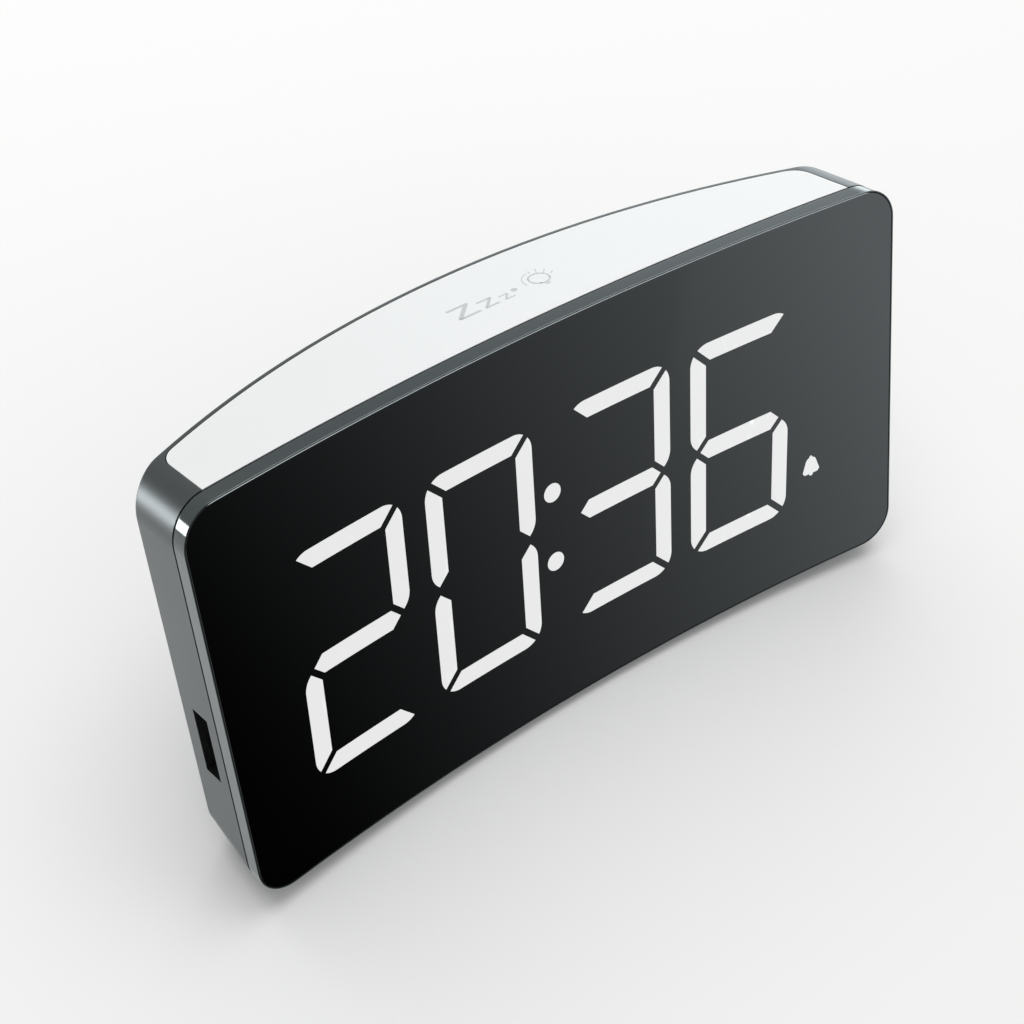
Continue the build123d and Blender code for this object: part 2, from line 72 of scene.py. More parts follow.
class Wire:                     # one shader socket, so that finishes are written as sums
    def __init__(self, finish, socket):
        self.finish = finish
        self.socket = socket

    def maths(self, operation, first, second):
        return self.finish.node("ShaderNodeMath", {"operation": operation}, {0: first, 1: second})

    def __add__(self, other):
        return self.maths("ADD", self, other)

    def __sub__(self, other):
        return self.maths("SUBTRACT", self, other)

    def __mul__(self, other):
        return self.maths("MULTIPLY", self, other)

    def __pow__(self, other):
        return self.maths("POWER", self, other)

    __radd__ = __add__
    __rmul__ = __mul__


class Finish:                   # a material, and the nodes it is made of
    def __init__(self, name):
        self.material = bpy.data.materials.new(name)
        self.material.use_nodes = True
        self.tree = self.material.node_tree
        self.tree.nodes.clear()
        self.end = self.tree.nodes.new("ShaderNodeOutputMaterial")

    def node(self, kind, settings=None, inputs=None, output=0):
        made = self.tree.nodes.new(kind)
        for key, value in (settings or {}).items():
            setattr(made, key, value)
        for key, value in (inputs or {}).items():
            if isinstance(value, Wire):
                self.tree.links.new(value.socket, made.inputs[key])
            else:
                made.inputs[key].default_value = value
        return Wire(self, made.outputs[output])

    def place(self):
        return self.node("ShaderNodeTexCoord", output="Object")

    def noise(self, scale, detail=2.0, stretch=(1, 1, 1)):
        where = self.node("ShaderNodeMapping", None, {"Vector": self.place(), "Scale": stretch})
        return self.node("ShaderNodeTexNoise", None, {"Vector": where, "Scale": scale, "Detail": detail})

    def between(self, factor, first, second):       # a colour between two colours
        return self.node("ShaderNodeMix", {"data_type": "RGBA"}, {0: factor, 6: first, 7: second}, output=2)

    def soften(self, value, low, high, start=0.0, end=1.0):
        return self.node("ShaderNodeMapRange", {"interpolation_type": "SMOOTHSTEP"},
                         {"Value": value, "From Min": low, "From Max": high, "To Min": start, "To Max": end})

    def bump(self, height, strength, distance):
        inputs = {"Height": height, "Strength": strength, "Distance": distance}
        return self.node("ShaderNodeBump", None, inputs)

    def shade(self, inputs):
        shader = self.node("ShaderNodeBsdfPrincipled", None, inputs)
        self.tree.links.new(shader.socket, self.end.inputs["Surface"])
        return self.material


def grey(level, tint=(1, 1, 1)):
    return (level * tint[0], level * tint[1], level * tint[2], 1)


coolTint = (0.96, 1.0, 1.0)
graphiteTint = (0.78, 1.0, 1.04)


# Injection-moulded plastic: broad cloudiness in the colour, fine spark-eroded grain in the surface
def plastic(name, level, tint=coolTint, roughness=0.4, grainDepth=0.00001, cloud=0.12):
    finish = Finish(name)
    broad = finish.noise(38, 3)
    fine = finish.noise(5200, 2)
    colour = finish.between(broad, grey(level * (1 - cloud), tint), grey(level * (1 + cloud), tint))
    rough = roughness + (broad - 0.5) * 0.10 + (fine - 0.5) * 0.10
    return finish.shade({"Base Color": colour, "Roughness": rough,
                         "Normal": finish.bump(fine, 0.35, grainDepth)})


# Polished black acrylic: no grain, only the faint unevenness of a wiped surface
def acrylic(name):
    finish = Finish(name)
    smears = finish.noise(26, 4, (1, 1, 2.5))
    return finish.shade({"Base Color": grey(0.0012), "Roughness": 0.045 + smears * 0.03, "IOR": 1.5})


def glossPlastic(name, level, roughness, tint=coolTint):
    finish = Finish(name)
    broad = finish.noise(60, 3)
    ripple = finish.noise(420, 1)
    colour = finish.between(broad, grey(level * 0.92, tint), grey(level * 1.08, tint))
    return finish.shade({"Base Color": colour, "Roughness": roughness + (broad - 0.5) * 0.04,
                         "Normal": finish.bump(ripple, 0.10, 0.00002)})


# Lit segments: a white diffuser glowing evenly, with the faint mottle of its bead texture
def glow(name, strength):
    finish = Finish(name)
    mottle = finish.noise(900, 2)
    light = finish.between(mottle, grey(0.985), (1, 1, 1, 1))
    return finish.shade({"Base Color": grey(0.02), "Roughness": 0.3 + mottle * 0.1, "IOR": 1.35,
                         "Emission Color": light, "Emission Strength": strength})


def brushedMetal(name, colour, roughness=0.28):
    finish = Finish(name)
    lines = finish.noise(900, 3, (1, 14, 1))
    tone = finish.between(lines, tuple(c * 0.82 for c in colour[:3]) + (1,), colour)
    return finish.shade({"Base Color": tone, "Metallic": 1.0, "Roughness": roughness + lines * 0.14,
                         "Normal": finish.bump(lines, 0.2, 0.00001)})


# Solder mask over copper tracks: the tracks are a fine maze standing a little proud
def circuitBoard(name):
    finish = Finish(name)
    maze = finish.node("ShaderNodeTexBrick", {"offset": 0.5},
                       {"Vector": finish.place(), "Scale": 230.0, "Mortar Size": 0.08, "Mortar Smooth": 0.2},
                       output=1)
    weave = finish.noise(1500, 2)
    mask = finish.between(maze, grey(0.012, (0.35, 1.0, 0.55)), grey(0.03, (0.4, 1.1, 0.6)))
    colour = finish.between(weave * 0.3, mask, grey(0.02, (0.5, 1.0, 0.6)))
    return finish.shade({"Base Color": colour, "Roughness": 0.3 + weave * 0.12,
                         "Normal": finish.bump(maze, 0.3, 0.00003)})


def rubber(name):
    finish = Finish(name)
    fine = finish.noise(2600, 3)
    broad = finish.noise(90, 2)
    colour = finish.between(broad, grey(0.016), grey(0.028))
    return finish.shade({"Base Color": colour, "Roughness": 0.72 + fine * 0.16,
                         "Normal": finish.bump(fine, 0.5, 0.00002)})


def paper(name, level):
    finish = Finish(name)
    fibre = finish.noise(1800, 4, (1, 2.5, 1))
    colour = finish.between(fibre, grey(level * 0.85), grey(level * 1.1))
    return finish.shade({"Base Color": colour, "Roughness": 0.75 + fibre * 0.15,
                         "Normal": finish.bump(fibre, 0.4, 0.00002)})


finishes = {
    "tinted_lens": acrylic("tintedAcrylic"),
    "gloss_bezel": glossPlastic("glossyGraphite", 0.040, 0.07, graphiteTint),
    "satin_housing": plastic("satinGraphite", 0.022, graphiteTint, 0.38),
    "lit_white": glow("litWhite", 0.80),
    "diffuser": plastic("milkyDiffuser", 0.72, (1, 1, 1), 0.55),
    "white_plastic": plastic("whiteReflector", 0.75, (1, 1, 1), 0.45),
    "circuit_board": circuitBoard("greenBoard"),
    "led": glow("ledPhosphor", 1.6),
    "black_plastic": plastic("blackNylon", 0.02, roughness=0.5),
    "steel": brushedMetal("brushedSteel", grey(0.6)),
    "capacitor": glossPlastic("capacitorSleeve", 0.02, 0.25),
    "port_plastic": glossPlastic("portPlastic", 0.012, 0.16),
    "brass": brushedMetal("goldPlate", (0.83, 0.62, 0.28, 1), 0.22),
    "cone": paper("conePaper", 0.03),
    "snooze_white": plastic("snoozeWhite", 0.70, (0.985, 1.0, 1.0), 0.52, grainDepth=0.000004, cloud=0.01),
    "button_plastic": plastic("buttonPlastic", 0.055, roughness=0.45),
    "foot_rubber": rubber("footRubber"),
    "screw_steel": brushedMetal("blackenedSteel", grey(0.16), 0.34),
    "label": paper("labelPaper", 0.62),
}
for name, node in nodes.items():
    slotName = node.data.materials[0].name.split(".")[0]
    node.data.materials[0] = finishes[slotName]
print("finishes:", len(finishes))


meshing = {
    "merge": 1e-7,              # corners nearer than this become one
    "sharpDegrees": 32,         # edges that turn further than this stay sharp
}


def added(name, data):
    made = bpy.data.objects.new(name, data)
    bpy.context.scene.collection.objects.link(made)
    return made


# An object with its doubled corners merged and its faces turned outwards
def solid(name, corners, faces):
    mesh = bpy.data.meshes.new(name)
    mesh.from_pydata([tuple(c) for c in corners], [], faces)
    mesh.validate()
    shape = bmesh.new()
    shape.from_mesh(mesh)
    bmesh.ops.remove_doubles(shape, verts=shape.verts, dist=meshing["merge"])
    settle(shape, mesh)
    return added(name, mesh)


def settle(shape, mesh):
    bmesh.ops.recalc_face_normals(shape, faces=shape.faces)
    shape.to_mesh(mesh)
    shape.free()


def piece(name, slotName, body, corners, faces, stands):
    made = solid(name, corners, faces)
    dress(made, slotName, body, stands)
    return made


def dress(made, slotName, body, stands):
    made.data.materials.clear()
    made.data.materials.append(finishes[slotName])
    made.data.shade_smooth()
    made.data.set_sharp_from_angle(angle=radians(meshing["sharpDegrees"]))
    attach(made, body)
    if stands:
        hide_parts(*stands)


# The outline of the face as (x, z, outward x, outward z), anticlockwise from the bottom edge's left end
def outline(columns, cornerSteps, rows):
    halfWidth = clock["width"] / 2
    top = clock["height"]
    middle = top / 2
    radius = clock["cornerRadius"]
    flat = halfWidth - radius
    rise = middle - radius
    points = []

    def run(start, end, count, normal):
        for i in range(count):
            share = i / count
            points.append((start[0] + (end[0] - start[0]) * share, start[1] + (end[1] - start[1]) * share,
                           normal[0], normal[1]))

    def turn(centreX, centreZ, first):
        for i in range(cornerSteps):
            angle = first + pi / 2 * i / cornerSteps
            outX = cos(angle)
            outZ = sin(angle)
            points.append((centreX + radius * outX, centreZ + radius * outZ, outX, outZ))

    run((-flat, 0), (flat, 0), columns, (0, -1))
    turn(flat, middle - rise, -pi / 2)
    run((halfWidth, middle - rise), (halfWidth, middle + rise), rows, (1, 0))
    turn(flat, middle + rise, 0)
    run((flat, top), (-flat, top), columns, (0, 1))
    turn(-flat, middle + rise, pi / 2)
    run((-halfWidth, middle + rise), (-halfWidth, middle - rise), rows, (-1, 0))
    turn(-flat, middle - rise, pi)
    return points


def ring(points, inset, depth):
    loop = []
    for x, z, outX, outZ in points:
        across = x - outX * inset
        loop.append(leaned(across, faceDepth(across) + depth, z - outZ * inset))
    return loop


# A closed band round the face: its section is a list of (inset, depth) points
def sweep(points, section, closed=True):
    corners = []
    faces = []
    count = len(points)
    for inset, depth in section:
        corners += ring(points, inset, depth)
    loops = len(section) if closed else len(section) - 1
    for k in range(loops):
        a = k * count
        b = ((k + 1) % len(section)) * count
        for i in range(count):
            j = (i + 1) % count
            faces.append((a + i, a + j, b + j, b + i))
    return corners, faces


# Points of a quarter round from one direction to the next, for an edge in a section
def rounded(centre, radius, first, last, steps):
    points = []
    for i in range(steps + 1):
        angle = radians(first + (last - first) * i / steps)
        points.append((centre[0] + radius * cos(angle), centre[1] + radius * sin(angle)))
    return points


bezel = {
    "depth": 0.0033,
    "rim": 0.00020,             # from the outline to the lens's seat
    "chamfer": 0.00002,         # of the outer front edge
    "chamferRound": 0.00001,
    "backEdge": 0.00015,
    "lensSeat": 0.0016,
    "ledge": 0.0042,
    "columns": 180,
    "cornerSteps": 16,
    "rows": 24,
}


def makeBezel():
    points = outline(bezel["columns"], bezel["cornerSteps"], bezel["rows"])
    edge = bezel["chamfer"]
    soft = bezel["chamferRound"]
    back = bezel["backEdge"]
    rim = bezel["rim"]
    inner = rim + bezel["ledge"]
    section = [(0.0, edge + 2 * soft), (0.0, edge + soft), (soft * 0.7, edge), (edge, soft * 0.7)]
    section += [(edge + soft, 0.0), (rim, 0.0), (rim, bezel["lensSeat"])]
    section += [(inner, bezel["lensSeat"]), (inner, bezel["depth"])]
    section += rounded((back, bezel["depth"] - back), back, 90, 180, 3)
    section += [(0.0, bezel["depth"] - 1.3 * back)]
    corners, faces = sweep(points, section)
    piece("bezelRing", "gloss_bezel", "case", corners, faces, ["front_bezel"])


lens = {
    "thickness": 0.00155,
    "gap": 0.00003,             # round the lens, inside the bezel's rim
    "chamfer": 0.0002,
    "sunk": 0.00002,            # the lit signs stand this little proud of it
    "rows": 20,
}


def makeLens():
    points = outline(bezel["columns"], bezel["cornerSteps"], lens["rows"])
    outer = bezel["rim"] + lens["gap"]
    edge = lens["chamfer"]
    front = [(outer + edge, lens["sunk"]), (outer, lens["sunk"] + edge), (outer, lens["thickness"])]
    corners, faces = sweep(points, front, closed=False)
    count = len(points)
    # The two faces are filled with upright strips: bottom point i and top point i share an x
    turnSteps = bezel["cornerSteps"]
    across = range(bezel["columns"] + 2 * turnSteps + 1)
    bottom = [(i + count - turnSteps) % count for i in across]
    top = [(count - turnSteps - lens["rows"] - i) % count for i in across]
    for loop, depth in ((0, lens["sunk"]), (2, lens["thickness"])):
        inset = front[loop][0]
        strips = []
        for low, high in zip(bottom, top):
            x = points[low][0] - points[low][2] * inset
            zLow = points[low][1] - points[low][3] * inset
            zHigh = points[high][1] - points[high][3] * inset
            strip = []
            for k in range(lens["rows"] + 1):
                strip.append(len(corners))
                corners.append(leaned(x, faceDepth(x) + depth, zLow + (zHigh - zLow) * k / lens["rows"]))
            strips.append(strip)
        for left, right in zip(strips, strips[1:]):
            for k in range(lens["rows"]):
                faces.append((left[k], right[k], right[k + 1], left[k + 1]))
    piece("lensPanel", "tinted_lens", "case", corners, faces, ["front_lens"])


makeBezel()
makeLens()
print("front made")

signs = {
    "windowDepth": 0.0005,      # how deep the lit windows reach into the lens
    "stripWidth": 0.0008,
    "merge": 1e-6,
    "cutReach": 1e-8,           # a corner this near a cut lies on it
    "pieces": {
        "hoursTensGlow": "hours_tens_digit",
        "hoursUnitsGlow": "hours_units_digit",
        "colonGlow": "colon_dots",
        "minutesTensGlow": "minutes_tens_digit",
        "minutesUnitsGlow": "minutes_units_digit",
        "bellGlow": "alarm_sign",
    },
}


# A sign cut into upright strips, so that its front follows the hollow of the face
def makeSign(name, nodeName):
    shape = bmesh.new()
    shape.from_mesh(nodes[nodeName].data)
    bmesh.ops.remove_doubles(shape, verts=shape.verts, dist=signs["merge"])
    first = min(corner.co.x for corner in shape.verts)
    last = max(corner.co.x for corner in shape.verts)
    count = int((last - first) / signs["stripWidth"])
    for i in range(1, count):
        x = first + (last - first) * i / count
        bmesh.ops.bisect_plane(shape, geom=shape.verts[:] + shape.edges[:] + shape.faces[:],
                               dist=signs["cutReach"], plane_co=(x, 0, 0), plane_no=(1, 0, 0))
    for corner in shape.verts:
        x, y, z = upright(corner.co)
        front = y - faceDepth(x) < signs["windowDepth"] / 2
        corner.co = leaned(x, faceDepth(x) + (0 if front else signs["windowDepth"]), z)
    mesh = bpy.data.meshes.new(name)
    settle(shape, mesh)
    dress(added(name, mesh), "lit_white", "case", [nodeName])


for name, nodeName in signs["pieces"].items():
    makeSign(name, nodeName)
print("signs made")

# Signs printed on the snooze bar, on its top. A stroke is its width, then its points from left to right.
printed = {
    "height": 0.00003,
    "strokes": [
        (0.00058, (-0.0107, 0.0164), (-0.0061, 0.0164)),
        (0.00080, (-0.0064, 0.0164), (-0.0104, 0.0125)),
        (0.00058, (-0.0105, 0.0125), (-0.0060, 0.0125)),
        (0.00042, (-0.0050, 0.0151), (-0.0019, 0.0151)),
        (0.00056, (-0.0021, 0.0151), (-0.0047, 0.0125)),
        (0.00042, (-0.0049, 0.0125), (-0.0019, 0.0125)),
        (0.00030, (-0.0009, 0.0141), (0.0010, 0.0141)),
        (0.00042, (0.0009, 0.0140), (-0.0005, 0.0124)),
        (0.00030, (-0.0006, 0.0124), (0.0016, 0.0124)),
        (0.00026, (0.0077, 0.0121), (0.0089, 0.0121)),
        (0.00026, (0.0078, 0.0116), (0.0088, 0.0116)),
        (0.00022, (0.0083, 0.0170), (0.0085, 0.0178)),
        (0.00022, (0.0095, 0.0167), (0.0100, 0.0176)),
        (0.00022, (0.0105, 0.0157), (0.0112, 0.0164)),
        (0.00022, (0.0110, 0.0144), (0.0118, 0.0147)),
    ],
    "dot": (0.0026, 0.0142, 0.00062),                   # centre and radius
    "lamp": (0.0083, 0.0143, 0.00195, 0.00032),         # centre, radius and stroke of the lamp's ring
    "glow": (0.0083, 0.0143, 0.0031, 0.00018),
    "glowAngles": (100, 190),
    "dotSteps": 24,
    "lampSteps": 48,
    "glowSteps": 12,
}


def makePrint():
    corners = []
    faces = []

    def slab(rim):
        start = len(corners)
        count = len(rim)
        for level in (clock["height"] - printed["height"], clock["height"] + printed["height"]):
            corners.extend(leaned(x, y, level) for x, y in rim)
        faces.append(tuple(start + i for i in range(count)))
        faces.append(tuple(start + count + i for i in range(count)))
        for i in range(count):
            j = (i + 1) % count
            faces.append((start + i, start + j, start + count + j, start + count + i))

    def arc(centre, radius, stroke, first, last, steps):
        for i in range(steps):
            rim = []
            for reach, share in ((radius - stroke / 2, i), (radius + stroke / 2, i),
                                 (radius + stroke / 2, i + 1), (radius - stroke / 2, i + 1)):
                angle = radians(first + (last - first) * share / steps)
                rim.append((centre[0] + reach * cos(angle), centre[1] + reach * sin(angle)))
            slab(rim)

    for stroke, start, end in printed["strokes"]:
        along = (Vector(end) - Vector(start)).normalized()
        aside = Vector((-along.y, along.x)) * stroke / 2
        slab([Vector(start) + aside, Vector(start) - aside, Vector(end) - aside, Vector(end) + aside])
    x, y, radius = printed["dot"]
    angles = [2 * pi * i / printed["dotSteps"] for i in range(printed["dotSteps"])]
    slab([(x + radius * cos(angle), y + radius * sin(angle)) for angle in angles])
    x, y, radius, stroke = printed["lamp"]
    arc((x, y), radius, stroke, 0, 360, printed["lampSteps"])
    x, y, radius, stroke = printed["glow"]
    arc((x, y), radius, stroke, *printed["glowAngles"], printed["glowSteps"])
    made = piece("snoozePrint", "label", "snooze_bar", corners, faces, ())
    made.data.materials[0] = plastic("greyPrint", 0.47, coolTint, 0.5, grainDepth=0.000004, cloud=0.03)


makePrint()
print("print made")

port = {
    "centre": (0.00315, 0.03035),
    "opening": (0.0049, 0.0136),
    "thickness": 0.00012,
    "outer": -0.07729,
    "inner": -0.0753,
    "clearance": 0.00001,
}


# Black sleeve that lines the charging port's opening
def makePortSleeve():
    y, z = port["centre"]
    corners = []
    for x, inset in ((port["outer"], 0), (port["inner"], 0),
                     (port["inner"], port["thickness"]), (port["outer"], port["thickness"])):
        halfY = port["opening"][0] / 2 - inset - port["clearance"]
        halfZ = port["opening"][1] / 2 - inset - port["clearance"]
        for sideY, sideZ in ((-1, -1), (1, -1), (1, 1), (-1, 1)):
            corners.append(leaned(x, y + sideY * halfY, z + sideZ * halfZ))
    faces = []
    for k in range(4):
        for i in range(4):
            a = k * 4
            b = (k + 1) % 4 * 4
            j = (i + 1) % 4
            faces.append((a + i, a + j, b + j, b + i))
    piece("portSleeve", "port_plastic", "case", corners, faces, ())


makePortSleeve()

seamShade = {
    "inset": 0.00012,           # below the clock's outline
    "depth": 0.0026,
    "front": 0.00334,
    "back": 0.00364,
    "columns": 120,
    "cornerSteps": 12,
    "rows": 16,
}


# Painted shade: a near-black strip at the bottom of the groove between the bezel and the housing, put there
# so the groove looks shaded
def makeSeamShade():
    points = outline(seamShade["columns"], seamShade["cornerSteps"], seamShade["rows"])
    low = seamShade["inset"]
    high = low + seamShade["depth"]
    front = seamShade["front"]
    back = seamShade["back"]
    section = [(low, front), (low, back), (high, back), (high, front)]
    corners, faces = sweep(points, section)
    made = piece("seamGasket", "black_plastic", "case", corners, faces, ())
    # Painted shade: the strip's finish is near black, dull and almost without gloss
    finish = Finish("paintedShadeBlack")
    shadeMottle = finish.noise(3000, 3)
    made.data.materials[0] = finish.shade({
        "Base Color": finish.between(shadeMottle, grey(0.001), grey(0.003)), "Roughness": 0.85 + shadeMottle * 0.1,
        "Specular IOR Level": 0.05, "Normal": finish.bump(shadeMottle, 0.4, 0.00002)})


makeSeamShade()

feet = {
    "radius": 0.004,
    "height": 0.0036,
    "soleRound": 0.0005,
    "groove": 0.00015,          # depth of the sole's two grooves
    "grooveReaches": (0.3, 0.55),       # where they start, as shares of the radius
    "topEdge": 0.0001,
    "steps": 64,
    "spots": [(-0.06, -0.02146, 0), (0.06, -0.02146, 0), (-0.018, -0.00146, 0), (0.018, -0.00146, 0)],
}
screws = {
    "headRadius": 0.0023,
    "headRound": 0.0005,
    "headBottom": 0.00805,
    "headTop": 0.0097,
    "shankRadius": 0.001,
    "shankEnd": 0.0002,
    "tipShare": 0.6,            # of the shank's radius
    "rootShare": 0.82,          # the bottom of the thread, likewise
    "threadTurns": 11,
    "threadStart": 0.0002,      # above the shank's end
    "threadStop": 0.0006,       # below the head
    "headSteps": 40,
    "twist": 0.7,               # from one screw to the next, in radians
    "recessHalf": 0.0015,
    "recessWidth": 0.0005,
    "recessDepth": 0.0007,
    "spots": [(-0.072, 0.0135), (0.072, 0.0135), (-0.072, 0.0685), (0.072, 0.0685)],
}


# A shape turned about its own z axis from (radius, height) points. An end off the axis is left open.
def turned(profile, steps):
    corners = []
    faces = []
    for radius, height in profile:
        for i in range(steps):
            angle = 2 * pi * i / steps
            corners.append((radius * cos(angle), radius * sin(angle), height))
    for k in range(len(profile) - 1):
        for i in range(steps):
            j = (i + 1) % steps
            faces.append((k * steps + i, k * steps + j, (k + 1) * steps + j, (k + 1) * steps + i))
    return corners, faces


# The tree that sets one shape on every spot, all tilted alike and each twisted further than the last
def stampTree(material):
    tree = bpy.data.node_groups.new("stampOnSpots", "GeometryNodeTree")
    inputs = {}
    for name, kind in (("Spots", "NodeSocketGeometry"), ("Shape", "NodeSocketObject"),
                       ("Tilt", "NodeSocketFloat"), ("Twist", "NodeSocketFloat")):
        inputs[name] = tree.interface.new_socket(name, in_out="INPUT", socket_type=kind).identifier
    tree.interface.new_socket("Stamped", in_out="OUTPUT", socket_type="NodeSocketGeometry")
    given = tree.nodes.new("NodeGroupInput")
    result = tree.nodes.new("NodeGroupOutput")
    shape = tree.nodes.new("GeometryNodeObjectInfo")
    stamp = tree.nodes.new("GeometryNodeInstanceOnPoints")
    index = tree.nodes.new("GeometryNodeInputIndex")
    twist = tree.nodes.new("ShaderNodeMath")
    twist.operation = "MULTIPLY"
    turn = tree.nodes.new("ShaderNodeCombineXYZ")
    twistTurn = tree.nodes.new("ShaderNodeCombineXYZ")
    tilted = tree.nodes.new("GeometryNodeRotateInstances")
    real = tree.nodes.new("GeometryNodeRealizeInstances")
    painted = tree.nodes.new("GeometryNodeSetMaterial")
    painted.inputs["Material"].default_value = material
    for start, end in (
            (given.outputs["Shape"], shape.inputs["Object"]),
            (given.outputs["Spots"], stamp.inputs["Points"]),
            (shape.outputs["Geometry"], stamp.inputs["Instance"]),
            (index.outputs[0], twist.inputs[0]),
            (given.outputs["Twist"], twist.inputs[1]),
            (twist.outputs[0], twistTurn.inputs["Z"]),
            (twistTurn.outputs[0], tilted.inputs["Rotation"]),
            (given.outputs["Tilt"], turn.inputs["X"]),
            (turn.outputs[0], stamp.inputs["Rotation"]),
            (stamp.outputs[0], tilted.inputs["Instances"]),
            (tilted.outputs[0], real.inputs[0]),
            (real.outputs[0], painted.inputs["Geometry"]),
            (painted.outputs[0], result.inputs[0])):
        tree.links.new(start, end)
    return tree, inputs


def stamped(name, slotName, body, spots, shape, tilt, twist, stands):
    mesh = bpy.data.meshes.new(name)
    mesh.from_pydata(spots, [], [])
    spotted = added(name + "Spots", mesh)
    tree, inputs = stampTree(finishes[slotName])
    modifier = spotted.modifiers.new("stamp", "NODES")
    modifier.node_group = tree
    modifier[inputs["Shape"]] = shape
    modifier[inputs["Tilt"]] = tilt
    modifier[inputs["Twist"]] = twist
    graph = bpy.context.evaluated_depsgraph_get()
    made = added(name, bpy.data.meshes.new_from_object(spotted.evaluated_get(graph)))
    for spent in (spotted, shape):
        bpy.data.objects.remove(spent)
    dress(made, slotName, body, stands)


def makeFeet():
    radius = feet["radius"]
    groove = feet["groove"]
    profile = [(0.0, 0.0)]
    for reach in feet["grooveReaches"]:
        profile += [(radius * reach, 0.0), (radius * reach + groove, groove),
                    (radius * reach + 2 * groove, groove), (radius * reach + 3 * groove, 0.0)]
    sole = feet["soleRound"]
    height = feet["height"]
    edge = feet["topEdge"]
    profile += rounded((radius - sole, sole), sole, -90, 0, 6)
    profile += [(radius, height - edge), (radius - edge, height), (0.0, height)]
    foot = solid("foot", *turned(profile, feet["steps"]))
    stamped("rubberFeet", "foot_rubber", "case", feet["spots"], foot, 0.0, 0.0, ["rubber_feet"])


# A pan-headed screw with a cross recess, its axis upright and its tip down
def screwShape():
    radius = screws["headRadius"]
    soft = screws["headRound"]
    bottom = screws["headBottom"]
    top = screws["headTop"]
    shank = screws["shankRadius"]
    end = screws["shankEnd"]
    root = shank * screws["rootShare"]
    profile = [(0.0, end), (shank * screws["tipShare"], end)]
    pitch = (bottom - screws["threadStop"] - end) / screws["threadTurns"]
    for i in range(screws["threadTurns"]):
        start = end + screws["threadStart"] + i * pitch
        profile += [(root, start), (shank, start + pitch * 0.45), (root, start + pitch * 0.9)]
    profile += [(shank, bottom), (radius, bottom)]
    profile += rounded((radius - soft, top - soft), soft, 0, 90, 5)
    steps = screws["headSteps"]
    corners, faces = turned(profile, steps)
    rim = list(range(len(corners) - steps, len(corners)))
    half = screws["recessHalf"]
    slit = screws["recessWidth"] / 2
    cross = [(half, -slit), (half, slit), (slit, slit), (slit, half), (-slit, half), (-slit, slit),
             (-half, slit), (-half, -slit), (-slit, -slit), (-slit, -half), (slit, -half), (slit, -slit)]
    start = len(corners)
    sides = len(cross)
    for level in (top, top - screws["recessDepth"]):
        corners += [(x, y, level) for x, y in cross]
    for i in range(sides):
        j = (i + 1) % sides
        faces.append((start + i, start + j, start + sides + j, start + sides + i))
    faces.append(tuple(start + sides + i for i in range(sides)))
    # The flat of the head lies between its rim and the cross: a face at each arm's end, then two
    # round the corner to the next arm
    quarter = steps // 4
    for arm in range(4):
        corner = start + arm * 3
        inner = corner + 2
        following = start + (arm * 3 + 3) % sides
        arc = [rim[(arm * quarter + step) % steps] for step in range(-1, 2)]
        bend = [rim[(arm * quarter + step) % steps] for step in range(1, quarter)]
        halfway = len(bend) // 2
        faces.append((corner, corner + 1, *reversed(arc)))
        faces.append((corner + 1, inner, *reversed(bend[:halfway + 1])))
        faces.append((inner, following, *reversed(bend[halfway:])))
    return solid("screw", corners, faces)


def makeScrews():
    spots = [leaned(x, 0, z) for x, z in screws["spots"]]
    tilt = -pi / 2 - radians(clock["leanDegrees"])
    stamped("housingScrews", "screw_steel", "case", spots, screwShape(), tilt, screws["twist"],
            ["housing_screws"])


makeFeet()
makeScrews()
print("feet and screws made")

camera = {
    "place": (-0.17370, -0.144644, 0.314821),
    "azimuth": -49.60,
    "elevation": 51.94,
    "roll": 15.31,
    "lens": 68.45,
    "sensor": 36,
    "nearest": 0.01,
    "furthest": 60,
}


def makeCamera():
    data = bpy.data.cameras.new("camera")
    data.lens = camera["lens"]
    data.sensor_width = camera["sensor"]
    data.clip_start = camera["nearest"]
    data.clip_end = camera["furthest"]
    made = added("camera", data)
    side = radians(camera["azimuth"])
    up = radians(camera["elevation"])
    back = Vector((sin(side) * cos(up), -cos(side) * cos(up), sin(up)))
    made.location = camera["place"]
    made.rotation_mode = "QUATERNION"
    roll = Quaternion((0, 0, 1), radians(camera["roll"]))
    made.rotation_quaternion = (-back).to_track_quat("-Z", "Y") @ roll
    bpy.context.scene.camera = made


makeCamera()

studio = {
    "floorLevel": 0.885,
    "worldStrength": 0.545,
    "topSize": 1.6,
    "topPower": 16.8,
    "topPlace": (0.14, 0.62, 1.3),
    "mirroredGlow": 0.38,
    "mirroredTint": (0.88, 0.99, 1.03, 1),
    "mirroredLevel": 0.0002,            # height of the second sheet
    "notchLeft": -0.0776,
    "notchFront": -0.02,
    "floorTint": (0.992, 1, 0.99),
    "floorHalf": 30,
    "cardTint": (0.90, 0.985, 1.02, 1),
}


# The floor itself doesn't show in reflections. A second sheet that shows only there leaves out the part
# in front of the face, which the lens would mirror.
def makeFloor():
    half = studio["floorHalf"]
    left = studio["notchLeft"]
    front = studio["notchFront"]
    level = studio["floorLevel"]
    tint = studio["floorTint"]
    pale = Finish("paleFloor")
    colour = pale.between(pale.noise(2, 2), grey(level * 0.995, tint), grey(level, tint))
    pale.shade({"Base Color": colour, "Roughness": 1.0, "Specular IOR Level": 0.0})
    brighter = Finish("mirroredFloor")
    brighter.shade({"Base Color": grey(level), "Roughness": 1.0, "Specular IOR Level": 0.0,
                    "Emission Color": studio["mirroredTint"], "Emission Strength": studio["mirroredGlow"]})
    whole = [(-half, -half), (half, -half), (half, half), (-half, half)]
    notched = [(-half, -half), (left, -half), (left, front), (half, front), (half, half), (-half, half)]
    floor = sheet("floor", whole, 0, pale)
    floor.visible_glossy = False
    onlyReflected(sheet("mirroredFloor", notched, studio["mirroredLevel"], brighter))


